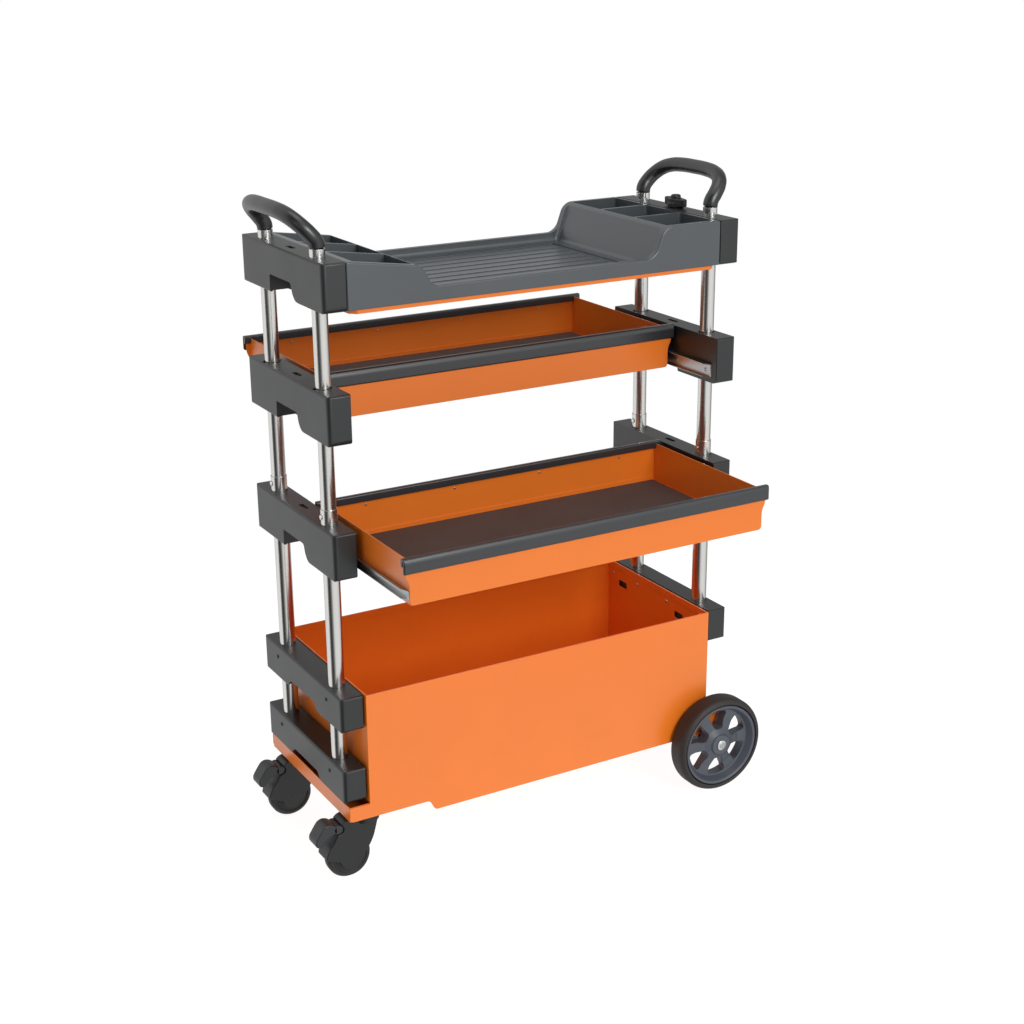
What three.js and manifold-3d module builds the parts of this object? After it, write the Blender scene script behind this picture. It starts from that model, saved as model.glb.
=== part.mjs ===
// Rolling utility cart with a collapsible frame: a deep steel bin on two big wheels and two casters,
// two drawers that slide out both ways, and a moulded tray on top. Millimetres, +X along the cart,
// -Y to its front, +Z up, floor at z = 0.
import * as THREE from "three";
import { mergeVertices } from "three/addons/utils/BufferGeometryUtils.js";
import Module from "manifold-3d";

const wasm = await Module();
wasm.setup();

// Driving dimensions
const GAP = 0.3; // clearance between solids that rest on each other
const SHEET = 1.5; // folded sheet steel

const BRACKET_INNER_X = 330;
const BRACKET_OUTER_X = 368;
const BRACKET_HALF_Y = 153;
const BRACKET_WALL = 4;
const POST_X = 349;
const POST_Y = 97;
const LOWER_POST_R = 13;
const LOWER_POST_BORE_R = 12.2;
const UPPER_POST_R = 11.8;
const UPPER_POST_BORE_R = 10.6;
const SLIDING_BORE_R = 13.4; // bracket bore around a lower post
const FIXED_BORE_R = 12.3; // bracket bore that holds an upper post

const TOP_BLOCK = { bottom: 927, top: 1000 };
const SHELF_1 = { bottom: 729, top: 806, drawerBottom: 735, drawerY: 121 };
const SHELF_2 = { bottom: 518, top: 593, drawerBottom: 523, drawerY: -150 };
const BIN_UPPER = { bottom: 266, top: 325 };
const BIN_LOWER = { bottom: 143, top: 201 };

const BIN_HALF_X = 327;
const BIN_HALF_Y = 157;
const BIN_TOP_Z = 325;
const BIN_FLOOR_Z = 138.3;
const BASE_HALF_X = 362;
const BASE_BOTTOM_Z = 113;
const SKIRT_BOTTOM_Z = 95;

const LOWER_POST_TOP_Z = 618;
const UPPER_POST_BOTTOM_Z = 520;
const UPPER_POST_TOP_Z = 1013;
const COLLAPSE_TRAVEL = 365; // how far the top comes down over the lower posts
const LOCK_BUTTON_Z = 606;

const TRAY_HALF_X = 329.6;
const TRAY_RIM_Z = 951;
const TRAY_END_Z = 1000;
const TRAY_LEFT_HEAD_Z = 983; // the left end slopes down to here before it drops to the rim
const TRAY_BOTTOM_Z = 929;
const TRAY_FLOOR_Z = 937;

const DRAWER_HALF_X = 317;
const DRAWER_HALF_Y = 152;
const DRAWER_WALL_H = 69;
const TRIM_HALF_X = 328;

const WHEEL_X = 334;
const WHEEL_R = 86;
const WHEEL_INNER_Y = 158.7;
const WHEEL_OUTER_Y = 198;
const AXLE_R = 6;

const CASTER_PIVOT_X = -320;
const CASTER_Y = 118;
const CASTER_WHEEL_X = -353;
const CASTER_WHEEL_R = 37.5;
const CASTER_WHEEL_W = 24;
const FORK_W = 34;
const PEDAL_PIVOT = { x: -372, z: 92 };
const PEDAL_TIP_X = -412.4;

// The origin is under the middle of the whole cart's footprint, drawers as they stand
const FOOTPRINT_MID_X = (WHEEL_X + WHEEL_R + PEDAL_TIP_X) / 2;
const FOOTPRINT_MID_Y = (SHELF_1.drawerY + SHELF_2.drawerY) / 2;

// Finishes
const finish = (color, roughness, metalness) => ({ color, roughness, metalness });
const ORANGE = finish("#f07c23", 0.45, 0.1);
const GREY_PLASTIC = finish("#4c4f51", 0.6, 0);
const TRAY_PLASTIC = finish("#5c6064", 0.6, 0);
const BLACK_PLASTIC = finish("#26282a", 0.55, 0);
const TRIM_PLASTIC = finish("#45484b", 0.5, 0);
const CHROME = finish("#d8d8d6", 0.12, 1);
const ZINC = finish("#b9bcbc", 0.35, 0.9);
const RUBBER = finish("#4a4240", 0.9, 0);
const TYRE = finish("#3b3b3d", 0.8, 0);
const HUB_PLASTIC = finish("#5a5f66", 0.5, 0);

// Conversions between three.js geometry and closed solids
function toSolid(geometry) {
  const bare = geometry.clone();
  bare.deleteAttribute("normal");
  bare.deleteAttribute("uv");
  const welded = mergeVertices(bare, 1e-4);
  return new wasm.Manifold(new wasm.Mesh({
    numProp: 3,
    vertProperties: new Float32Array(welded.attributes.position.array),
    triVerts: new Uint32Array(welded.index.array),
  }));
}

function toGeometry(solid) {
  const mesh = solid.getMesh();
  const geometry = new THREE.BufferGeometry();
  geometry.setAttribute("position", new THREE.BufferAttribute(new Float32Array(mesh.vertProperties), 3));
  geometry.setIndex(new THREE.BufferAttribute(new Uint32Array(mesh.triVerts), 1));
  geometry.computeVertexNormals();
  return geometry;
}

const cut = (solid, tools) => tools.reduce((left, tool) => left.subtract(tool), solid);
const join = (solids) => solids.reduce((whole, solid) => whole.add(solid));

// Basic solids
function box(x0, x1, y0, y1, z0, z1) {
  const geometry = new THREE.BoxGeometry(Math.abs(x1 - x0), Math.abs(y1 - y0), Math.abs(z1 - z0));
  geometry.translate((x0 + x1) / 2, (y0 + y1) / 2, (z0 + z1) / 2);
  return toSolid(geometry);
}

function rodZ(x, y, radius, z0, z1, sides = 16) {
  const geometry = new THREE.CylinderGeometry(radius, radius, z1 - z0, sides);
  geometry.rotateX(Math.PI / 2);
  geometry.translate(x, y, (z0 + z1) / 2);
  return toSolid(geometry);
}

function rodY(x, z, radius, y0, y1, sides = 24) {
  const geometry = new THREE.CylinderGeometry(radius, radius, y1 - y0, sides);
  geometry.translate(x, (y0 + y1) / 2, z);
  return toSolid(geometry);
}

function rodX(y, z, radius, x0, x1, sides = 16) {
  const geometry = new THREE.CylinderGeometry(radius, radius, x1 - x0, sides);
  geometry.rotateZ(Math.PI / 2);
  geometry.translate((x0 + x1) / 2, y, z);
  return toSolid(geometry);
}

function extrude(shape, depth, curveSegments) {
  return new THREE.ExtrudeGeometry(shape, { depth, bevelEnabled: false, curveSegments });
}

// A plan outline (x, y) raised from z0 to z1
function prismZ(shape, z0, z1, curveSegments = 4) {
  return toSolid(extrude(shape, z1 - z0, curveSegments).translate(0, 0, z0));
}

// An end outline (y, z) run along X from x0 to x1
function prismX(shape, x0, x1, curveSegments = 4) {
  const turn = new THREE.Matrix4().makeBasis(
    new THREE.Vector3(0, 1, 0), new THREE.Vector3(0, 0, 1), new THREE.Vector3(1, 0, 0));
  return toSolid(extrude(shape, x1 - x0, curveSegments).applyMatrix4(turn).translate(x0, 0, 0));
}

// A side outline (x, z) run along Y from y0 to y1
function prismY(shape, y0, y1, curveSegments = 4) {
  const turn = new THREE.Matrix4().makeBasis(
    new THREE.Vector3(1, 0, 0), new THREE.Vector3(0, 0, 1), new THREE.Vector3(0, -1, 0));
  return toSolid(extrude(shape, y1 - y0, curveSegments).applyMatrix4(turn).translate(0, y1, 0));
}

const polygon = (points) => new THREE.Shape(points.map(([u, v]) => new THREE.Vector2(u, v)));

// A ring or disc turned about a line parallel to Y through (x, z); profile points are (radius, y)
function turnedY(profile, x, z, segments) {
  const points = profile.map(([radius, y]) => new THREE.Vector2(radius, y));
  const geometry = new THREE.LatheGeometry(points, segments);
  geometry.translate(x, 0, z);
  return toSolid(geometry);
}

// The assembly
const cart = new THREE.Group();
cart.position.set(-FOOTPRINT_MID_X, -FOOTPRINT_MID_Y, 0);

function addPiece(name, solid, look) {
  const mesh = new THREE.Mesh(toGeometry(solid), new THREE.MeshStandardMaterial(look));
  mesh.name = name;
  cart.add(mesh);
}

const SIDES = [["left", -1], ["right", 1]];
const ENDS = [["front", -1], ["rear", 1]];

// Corner brackets: blocks moulded with two cores from below, which join the front and rear post at
// one end of the cart
function roundedPlan(side) {
  const outerR = 8;
  const shape = new THREE.Shape();
  shape.moveTo(BRACKET_INNER_X, -BRACKET_HALF_Y);
  shape.lineTo(BRACKET_OUTER_X - outerR, -BRACKET_HALF_Y);
  shape.absarc(BRACKET_OUTER_X - outerR, -BRACKET_HALF_Y + outerR, outerR, -Math.PI / 2, 0);
  shape.absarc(BRACKET_OUTER_X - outerR, BRACKET_HALF_Y - outerR, outerR, 0, Math.PI / 2);
  shape.lineTo(BRACKET_INNER_X, BRACKET_HALF_Y);
  if (side > 0) return shape;
  return polygon(shape.getPoints(4).map((point) => [-point.x, point.y]).reverse());
}

// End view of a bracket: rounded bottom corners and an arch between the posts, whose front half may
// flare more than its rear half
function bracketSide({ bottom, top }, { front, rear, height }) {
  const cornerR = 10;
  const crownZ = bottom + height;
  const kneeZ = bottom + 0.35 * height;
  const shape = new THREE.Shape();
  shape.moveTo(-BRACKET_HALF_Y, top);
  shape.lineTo(-BRACKET_HALF_Y, bottom + cornerR);
  shape.absarc(-BRACKET_HALF_Y + cornerR, bottom + cornerR, cornerR, Math.PI, Math.PI * 1.5);
  shape.lineTo(-front.footY, bottom);
  shape.bezierCurveTo(-front.crownY - front.ease, bottom, -front.crownY - 0.7 * front.ease, kneeZ,
    -front.crownY, crownZ);
  shape.lineTo(rear.crownY, crownZ);
  shape.bezierCurveTo(rear.crownY + 0.7 * rear.ease, kneeZ, rear.crownY + rear.ease, bottom,
    rear.footY, bottom);
  shape.absarc(BRACKET_HALF_Y - cornerR, bottom + cornerR, cornerR, -Math.PI / 2, 0);
  shape.lineTo(BRACKET_HALF_Y, top);
  return shape;
}

const STEEP = { footY: 43, crownY: 42, ease: 0.5 };
const FLARED = { footY: 80, crownY: 38, ease: 6 };
const SHALLOW = { footY: 70, crownY: 38, ease: 8 };
const DEEP_ARCH = { front: FLARED, rear: STEEP, height: 28 };
const SHALLOW_ARCH = { front: SHALLOW, rear: SHALLOW, height: 15 };

function bracket(side, level, arch) {
  const x0 = Math.min(side * BRACKET_INNER_X, side * BRACKET_OUTER_X);
  const x1 = Math.max(side * BRACKET_INNER_X, side * BRACKET_OUTER_X);
  const endView = prismX(bracketSide(level, arch), x0 - 1, x1 + 1, 5);
  const blank = prismZ(roundedPlan(side), level.bottom, level.top)
    .intersect(side > 0 ? endView.mirror([0, 1, 0]) : endView);
  const coreY = POST_Y - SLIDING_BORE_R - BRACKET_WALL;
  const ribHalfY = BRACKET_WALL;
  const cores = [[-coreY, -ribHalfY], [ribHalfY, coreY]].map(([y0, y1]) =>
    box(x0 + BRACKET_WALL, x1 - BRACKET_WALL, y0, y1, level.bottom - 1, level.top - BRACKET_WALL));
  return cut(blank, cores);
}

const postHoles = (side, radius, z0, z1) =>
  ENDS.map(([, end]) => rodZ(side * POST_X, end * POST_Y, radius, z0, z1));

// Grooves that let a bracket pass the lock buttons, which all face the caster end
const buttonGrooves = (side, z0, z1) => ENDS.map(([, end]) => box(
  side * POST_X - LOWER_POST_R - 3, side * POST_X, end * POST_Y - 5, end * POST_Y + 5, z0, z1));

// Small oblong recess in the top face, halfway between the posts
function fingerRecess(side, top) {
  const x = side * POST_X;
  return box(x - 4, x + 4, -13, 13, top - 2.5, top + 1);
}

function slidingBracket(side, level, grooved) {
  const tools = postHoles(side, SLIDING_BORE_R, level.bottom - 1, level.top + 1);
  tools.push(fingerRecess(side, level.top));
  if (grooved) tools.push(...buttonGrooves(side, level.bottom - 1, level.top + 1));
  return cut(bracket(side, level, DEEP_ARCH), tools);
}

function topBlock(side) {
  const slidingBoreTop = LOWER_POST_TOP_Z + COLLAPSE_TRAVEL + 2;
  const tools = [
    ...postHoles(side, SLIDING_BORE_R, TOP_BLOCK.bottom - 1, slidingBoreTop),
    ...postHoles(side, FIXED_BORE_R, slidingBoreTop - 1, TOP_BLOCK.top + 1),
    ...buttonGrooves(side, TOP_BLOCK.bottom - 1, slidingBoreTop),
  ];
  if (side < 0) tools.push(fingerRecess(side, TOP_BLOCK.top));
  return cut(bracket(side, TOP_BLOCK, DEEP_ARCH), tools);
}

function binBracket(side, level) {
  return cut(bracket(side, level, SHALLOW_ARCH),
    postHoles(side, SLIDING_BORE_R, level.bottom - 1, level.top + 1));
}

for (const [sideName, side] of SIDES) {
  addPiece(`top_block_${sideName}`, topBlock(side), GREY_PLASTIC);
  addPiece(`shelf_1_bracket_${sideName}`, slidingBracket(side, SHELF_1, true), GREY_PLASTIC);
  addPiece(`shelf_2_bracket_${sideName}`, slidingBracket(side, SHELF_2, false), GREY_PLASTIC);
  addPiece(`bin_bracket_upper_${sideName}`, binBracket(side, BIN_UPPER), GREY_PLASTIC);
}
// Only the caster end has a lower bracket; at the other end the big wheels take its place
addPiece("bin_bracket_lower_left", binBracket(-1, BIN_LOWER), GREY_PLASTIC);

// Telescopic posts: a lower tube fixed to the bin, an upper tube that slides down inside it
function lowerPost(side, end) {
  const x = side * POST_X;
  const y = end * POST_Y;
  const z0 = BIN_LOWER.bottom;
  return cut(rodZ(x, y, LOWER_POST_R, z0, LOWER_POST_TOP_Z), [
    rodZ(x, y, LOWER_POST_BORE_R, z0 - 1, LOWER_POST_TOP_Z + 1),
    rodX(y, LOCK_BUTTON_Z, 4.6, x - LOWER_POST_R - 2, x),
  ]);
}

function upperPost(side, end) {
  const x = side * POST_X;
  const y = end * POST_Y;
  return rodZ(x, y, UPPER_POST_R, UPPER_POST_BOTTOM_Z, UPPER_POST_TOP_Z)
    .subtract(rodZ(x, y, UPPER_POST_BORE_R, UPPER_POST_BOTTOM_Z - 1, UPPER_POST_TOP_Z + 1));
}

// Push button in the lower tube's wall that locks the upper tube
function lockButton(side, end) {
  const x = side * POST_X - LOWER_POST_R;
  return rodX(end * POST_Y, LOCK_BUTTON_Z, 4, x - 1.5, x + 0.1, 12);
}

for (const [sideName, side] of SIDES) {
  for (const [endName, end] of ENDS) {
    addPiece(`lower_post_${endName}_${sideName}`, lowerPost(side, end), CHROME);
    addPiece(`upper_post_${endName}_${sideName}`, upperPost(side, end), CHROME);
    addPiece(`lock_button_${endName}_${sideName}`, lockButton(side, end), CHROME);
  }
}

// Handles: a padded loop that springs from the two posts and leans outwards
function handle(side) {
  const at = (x, y, z) => new THREE.Vector3(side * x, y, z);
  const z0 = UPPER_POST_TOP_Z + 1;
  const gripR = 12.5;
  const path = new THREE.CatmullRomCurve3([
    at(POST_X, -POST_Y, z0), at(POST_X, -POST_Y, z0 + 6), at(POST_X + 13, -POST_Y + 3, z0 + 30),
    at(POST_X + 29, -POST_Y + 22, z0 + 45), at(POST_X + 36, -POST_Y + 52, z0 + 49),
    at(POST_X + 37, 0, z0 + 50),
    at(POST_X + 36, POST_Y - 52, z0 + 49), at(POST_X + 29, POST_Y - 22, z0 + 45),
    at(POST_X + 13, POST_Y - 3, z0 + 30), at(POST_X, POST_Y, z0 + 6), at(POST_X, POST_Y, z0),
  ], false, "centripetal");
  const section = new THREE.Shape().absarc(0, 0, gripR, 0, Math.PI * 2);
  return toSolid(new THREE.ExtrudeGeometry(section, { steps: 26, extrudePath: path, curveSegments: 5 }));
}

for (const [sideName, side] of SIDES) addPiece(`handle_${sideName}`, handle(side), BLACK_PLASTIC);

// Wing knob on the wheel-end block: two wings on a round hub
function wingKnob() {
  const z0 = TOP_BLOCK.top + GAP;
  const wings = new THREE.Shape();
  wings.moveTo(-5, -26);
  wings.quadraticCurveTo(0, -29, 5, -26);
  wings.quadraticCurveTo(9, -12, 11, 0);
  wings.quadraticCurveTo(9, 12, 5, 26);
  wings.quadraticCurveTo(0, 29, -5, 26);
  wings.quadraticCurveTo(-9, 12, -11, 0);
  wings.quadraticCurveTo(-9, -12, -5, -26);
  const blade = prismZ(wings, z0 + 3, z0 + 15, 3).translate([POST_X, 0, 0]);
  return join([blade, rodZ(POST_X, 0, 14, z0, z0 + 8, 16), rodZ(POST_X, 0, 8, z0 + 6, z0 + 21, 12)]);
}
addPiece("wing_knob", wingKnob(), BLACK_PLASTIC);

// Top tray: moulding with raised ends, an open middle and pockets at both ends
const TRAY_RAMP = { rightFoot: 202, rightHead: 226, leftFoot: -190, leftHead: -214 };

function trayOutline() {
  const { rightFoot, rightHead, leftFoot, leftHead } = TRAY_RAMP;
  const shape = new THREE.Shape();
  shape.moveTo(-TRAY_HALF_X, TRAY_BOTTOM_Z);
  shape.lineTo(TRAY_HALF_X, TRAY_BOTTOM_Z);
  shape.lineTo(TRAY_HALF_X, TRAY_END_Z);
  shape.lineTo(rightHead + 2, TRAY_END_Z);
  shape.bezierCurveTo(rightHead - 10, TRAY_END_Z, rightFoot + 18, TRAY_RIM_Z, rightFoot - 6, TRAY_RIM_Z);
  shape.lineTo(leftFoot + 6, TRAY_RIM_Z);
  shape.bezierCurveTo(leftFoot - 18, TRAY_RIM_Z, leftHead + 10, TRAY_LEFT_HEAD_Z,
    leftHead - 2, TRAY_LEFT_HEAD_Z);
  shape.lineTo(-TRAY_HALF_X, TRAY_END_Z);
  return shape;
}

const TRAY_HALF_Y = BRACKET_HALF_Y;
const POCKET_Y = [[-143, -51], [-45, 45], [51, 143]]; // three pockets side by side at each end

function topTray() {
  const wellHalfY = TRAY_HALF_Y - 12;
  const { rightFoot, rightHead, leftFoot, leftHead } = TRAY_RAMP;
  const well = prismY(polygon([[leftFoot, TRAY_FLOOR_Z], [rightFoot, TRAY_FLOOR_Z],
    [rightHead, TRAY_END_Z + 1], [leftHead, TRAY_END_Z + 1]]), -wellHalfY, wellHalfY);
  const deepPockets = POCKET_Y.map(([y0, y1]) =>
    box(rightHead + 6, TRAY_HALF_X - 8, y0, y1, TRAY_FLOOR_Z, TRAY_END_Z + 1));
  const scoop = new THREE.Shape();
  scoop.moveTo(leftHead - 6, TRAY_END_Z + 1);
  scoop.lineTo(-TRAY_HALF_X + 10, TRAY_END_Z + 1);
  scoop.quadraticCurveTo(-TRAY_HALF_X + 40, TRAY_END_Z - 28, leftHead - 26, TRAY_END_Z - 34);
  scoop.lineTo(leftHead - 6, TRAY_END_Z - 34);
  const scoops = POCKET_Y.map(([y0, y1]) => prismY(scoop, y0, y1, 5));
  const underside = box(-TRAY_HALF_X + 6, leftHead - 8, -TRAY_HALF_Y + 6, TRAY_HALF_Y - 6,
    TRAY_BOTTOM_Z - 1, TRAY_END_Z - 40);
  const blank = prismY(trayOutline(), -TRAY_HALF_Y, TRAY_HALF_Y, 5);
  return cut(blank, [well, ...deepPockets, ...scoops, underside]);
}
addPiece("top_tray", topTray(), TRAY_PLASTIC);

// Sheet pan that carries the tray
function trayPan() {
  const halfX = 324;
  const halfY = 151;
  const corner = 10;
  const top = TRAY_BOTTOM_Z - GAP;
  const bottom = 922.5;
  const plan = polygon([[-halfX + corner, -halfY], [halfX - corner, -halfY], [halfX, -halfY + corner],
    [halfX, halfY - corner], [halfX - corner, halfY], [-halfX + corner, halfY], [-halfX, halfY - corner],
    [-halfX, -halfY + corner]]);
  return prismZ(plan, bottom, top)
    .subtract(box(-halfX + 12, halfX - 12, -halfY + SHEET, halfY - SHEET, bottom - 1, top - SHEET));
}
addPiece("tray_pan", trayPan(), ORANGE);

// Drawers: folded tray, plastic trims on the front and rear edges, a slide at each end and a mat
function drawerEndPanel(bottom, faceY) {
  const wingX = DRAWER_HALF_X + 7;
  const lowX = DRAWER_HALF_X + 0.5;
  const top = bottom + DRAWER_WALL_H;
  const shape = polygon([[-lowX + 6, bottom], [lowX - 6, bottom], [lowX, bottom + 6], [lowX, bottom + 32],
    [wingX, bottom + 46], [wingX, top], [-wingX, top], [-wingX, bottom + 46], [-lowX, bottom + 32],
    [-lowX, bottom + 6]]);
  return faceY < 0 ? prismY(shape, faceY, faceY + SHEET) : prismY(shape, faceY - SHEET, faceY);
}

function drawerTray({ drawerBottom, drawerY }) {
  const top = drawerBottom + DRAWER_WALL_H;
  const tub = box(-DRAWER_HALF_X, DRAWER_HALF_X, -DRAWER_HALF_Y + 1, DRAWER_HALF_Y - 1, drawerBottom, top)
    .subtract(box(-DRAWER_HALF_X + SHEET, DRAWER_HALF_X - SHEET, -DRAWER_HALF_Y + SHEET,
      DRAWER_HALF_Y - SHEET, drawerBottom + SHEET, top + 1));
  const panels = [-DRAWER_HALF_Y, DRAWER_HALF_Y].map((faceY) => drawerEndPanel(drawerBottom, faceY));
  return join([tub, ...panels]).translate([0, drawerY, 0]);
}

// Trim section in (y, z) with a groove that grips the sheet's top edge
function drawerTrim({ drawerBottom, drawerY }, end) {
  const face = DRAWER_HALF_Y;
  const top = drawerBottom + DRAWER_WALL_H;
  const section = [[face + GAP, top - 20], [face + 4, top - 18], [face + 5, top - 2], [face + 2, top + 5],
    [face - 6, top + 5], [face - 7, top + 2], [face - 7, top - 8], [face - SHEET - GAP, top - 8],
    [face - SHEET - GAP, top + GAP], [face + GAP, top + GAP]];
  const points = end > 0 ? section : section.map(([y, z]) => [-y, z]).reverse();
  return cut(prismX(polygon(points), -TRIM_HALF_X, TRIM_HALF_X),
    SIDES.map(([, side]) => {
      const x0 = Math.min(side * (DRAWER_HALF_X - SHEET - GAP), side * (DRAWER_HALF_X + GAP));
      const y = end * (face - 12);
      return box(x0, x0 + SHEET + 2 * GAP, Math.min(y, end * face), Math.max(y, end * face),
        top - 30, top + GAP);
    })).translate([0, drawerY, 0]);
}

function drawerSlide({ drawerBottom, drawerY }, side) {
  const web = side * (DRAWER_HALF_X + GAP);
  const lip = side * (DRAWER_HALF_X + 7.5);
  const inner = side * (DRAWER_HALF_X + GAP + 1.5);
  const x0 = Math.min(web, lip);
  const x1 = Math.max(web, lip);
  return box(x0, x1, -148, 148, drawerBottom + 7, drawerBottom + 22)
    .subtract(box(Math.min(inner, lip + side), Math.max(inner, lip + side), -150, 150,
      drawerBottom + 8.5, drawerBottom + 20.5))
    .translate([0, drawerY, 0]);
}

// Outer rail of a slide, screwed to the inner face of a bracket
function bracketRail({ drawerBottom }, side) {
  const web = side * (BRACKET_INNER_X - GAP);
  const lip = side * (BRACKET_INNER_X - 9);
  const inner = side * (BRACKET_INNER_X - GAP - 1.5);
  return box(Math.min(web, lip), Math.max(web, lip), -140, 140, drawerBottom + 3, drawerBottom + 26)
    .subtract(box(Math.min(inner, lip - side), Math.max(inner, lip - side), -142, 142,
      drawerBottom + 4.5, drawerBottom + 24.5));
}

const SHELVES = [[1, SHELF_1], [2, SHELF_2]];
for (const [number, shelf] of SHELVES) {
  addPiece(`drawer_${number}_tray`, drawerTray(shelf), ORANGE);
  const matZ = shelf.drawerBottom + SHEET + GAP;
  const matHalfY = DRAWER_HALF_Y - SHEET - 2;
  const matHalfX = DRAWER_HALF_X - SHEET - 2;
  addPiece(`drawer_${number}_mat`, box(-matHalfX, matHalfX, shelf.drawerY - matHalfY,
    shelf.drawerY + matHalfY, matZ, matZ + 2), RUBBER);
  for (const [endName, end] of ENDS) {
    addPiece(`drawer_${number}_trim_${endName}`, drawerTrim(shelf, end), TRIM_PLASTIC);
  }
  for (const [sideName, side] of SIDES) {
    addPiece(`drawer_${number}_slide_${sideName}`, drawerSlide(shelf, side), ZINC);
    addPiece(`shelf_${number}_rail_${sideName}`, bracketRail(shelf, side), ZINC);
  }
}

// Bin: folded sheet box whose front and rear panels run on down as skirts
function binShell() {
  const x = BIN_HALF_X;
  const y = BIN_HALF_Y;
  const base = BASE_HALF_X;
  const wingTop = BIN_FLOOR_Z - 1;
  const outline = polygon([[-x, BIN_TOP_Z], [-x, wingTop], [-base, wingTop], [-base, BASE_BOTTOM_Z],
    [-221, BASE_BOTTOM_Z], [-211, SKIRT_BOTTOM_Z], [base, SKIRT_BOTTOM_Z], [base, wingTop],
    [x, wingTop], [x, BIN_TOP_Z]]);
  return cut(prismY(outline, -y, y), [
    box(-x + SHEET, x - SHEET, -y + SHEET, y - SHEET, BIN_FLOOR_Z + SHEET, BIN_TOP_Z + 1),
    box(-base - 1, base + 1, -y + SHEET, y - SHEET, SKIRT_BOTTOM_Z - 1, BIN_FLOOR_Z),
  ]);
}
addPiece("bin_shell", binShell(), ORANGE);

// Base pan under the bin, which the posts stand in and the casters bolt to
function basePan() {
  const x = BASE_HALF_X - GAP;
  const y = BIN_HALF_Y - SHEET - GAP;
  const wall = 2;
  return box(-x, x, -y, y, BASE_BOTTOM_Z, BIN_FLOOR_Z - GAP)
    .subtract(box(-x + wall, x - wall, -y + wall, y - wall, BASE_BOTTOM_Z + wall, BIN_FLOOR_Z + 1));
}
addPiece("base_pan", basePan(), ORANGE);

// Axle channel: inverted trough under the base that carries the axle of the big wheels
function axleChannel() {
  const halfW = 16;
  const wall = 3;
  const halfY = 150;
  const top = BASE_BOTTOM_Z - GAP;
  return cut(box(WHEEL_X - halfW, WHEEL_X + halfW, -halfY, halfY, 70, top), [
    box(WHEEL_X - halfW + wall, WHEEL_X + halfW - wall, -halfY + wall, halfY - wall, 69, top - wall),
    rodY(WHEEL_X, WHEEL_R, AXLE_R + GAP, -halfY - 1, halfY + 1, 16),
  ]);
}
addPiece("axle_channel", axleChannel(), BLACK_PLASTIC);
addPiece("wheel_axle", rodY(WHEEL_X, WHEEL_R, AXLE_R, -WHEEL_OUTER_Y - 2, WHEEL_OUTER_Y + 2, 16), ZINC);

// Big wheels: rubber tyre on a moulded hub with six windows
const TYRE_BORE_R = 74;

function tyre(end) {
  const inner = WHEEL_INNER_Y;
  const outer = WHEEL_OUTER_Y;
  const profile = [[TYRE_BORE_R, inner], [WHEEL_R - 4, inner], [WHEEL_R - 1, inner + 2], [WHEEL_R, inner + 6],
    [WHEEL_R, outer - 6], [WHEEL_R - 1, outer - 2], [WHEEL_R - 4, outer], [TYRE_BORE_R, outer],
    [TYRE_BORE_R, inner]];
  return turnedY(end > 0 ? profile : profile.map(([r, y]) => [r, -y]).reverse(), WHEEL_X, WHEEL_R, 32);
}

function hubWindow(angle) {
  const halfSpan = 0.33;
  const shape = new THREE.Shape();
  shape.absarc(0, 0, 60, angle - halfSpan, angle + halfSpan);
  shape.absarc(0, 0, 28, angle + halfSpan * 0.75, angle - halfSpan * 0.75, true);
  return shape;
}

function hub(end) {
  const inner = WHEEL_INNER_Y + 0.5;
  const outer = WHEEL_OUTER_Y - 1;
  const bore = AXLE_R + GAP;
  const rimR = TYRE_BORE_R - 2 * GAP;
  const profile = [[bore, inner], [17, inner], [18, inner + 8], [63, inner + 8], [65, inner], [rimR, inner],
    [rimR, outer], [65, outer], [61, outer - 12], [19, outer - 8], [16, outer - 2], [bore, outer - 2],
    [bore, inner]];
  const wheel = turnedY(end > 0 ? profile : profile.map(([r, y]) => [r, -y]).reverse(), WHEEL_X, WHEEL_R, 24);
  const y0 = Math.min(end * inner, end * outer) - 1;
  const y1 = Math.max(end * inner, end * outer) + 1;
  const windows = Array.from({ length: 6 }, (_, index) =>
    prismY(hubWindow(index * Math.PI / 3 + Math.PI / 2), y0, y1, 2).translate([WHEEL_X, 0, WHEEL_R]));
  return cut(wheel, windows);
}

for (const [endName, end] of ENDS) {
  addPiece(`wheel_tyre_${endName}`, tyre(end), TYRE);
  addPiece(`wheel_hub_${endName}`, hub(end), HUB_PLASTIC);
}

// Casters: plate, swivelling hooded fork, wheel and brake pedal
function casterFork(y) {
  const wheelZ = CASTER_WHEEL_R;
  const top = 109.6;
  const side = new THREE.Shape();
  side.moveTo(-300, top);
  side.lineTo(-345, top);
  side.lineTo(-368, 103);
  side.lineTo(-373, 86);
  side.absarc(CASTER_WHEEL_X, wheelZ, 44, 2.3, 3.0);
  side.absarc(CASTER_WHEEL_X, wheelZ, 20, 3.3, 5.6);
  side.lineTo(-313, 62);
  const halfW = FORK_W / 2;
  const slotHalfW = CASTER_WHEEL_W / 2 + 1;
  const body = cut(prismY(side, y - halfW, y + halfW, 6), [
    rodY(CASTER_WHEEL_X, wheelZ, 40, y - slotHalfW, y + slotHalfW, 24),
    box(CASTER_WHEEL_X - 50, CASTER_WHEEL_X + 50, y - slotHalfW, y + slotHalfW, 0, wheelZ),
    rodY(PEDAL_PIVOT.x, PEDAL_PIVOT.z, 8.2, y - halfW - 1, y + halfW + 1, 16),
    box(-420, PEDAL_PIVOT.x + 4, y - halfW - 1, y + halfW + 1, PEDAL_PIVOT.z - 2, top + 1),
  ]);
  return join([body, rodZ(CASTER_PIVOT_X, y, 24, 94, top),
    rodY(CASTER_WHEEL_X, wheelZ, 4, y - halfW, y + halfW, 12)]);
}

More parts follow.
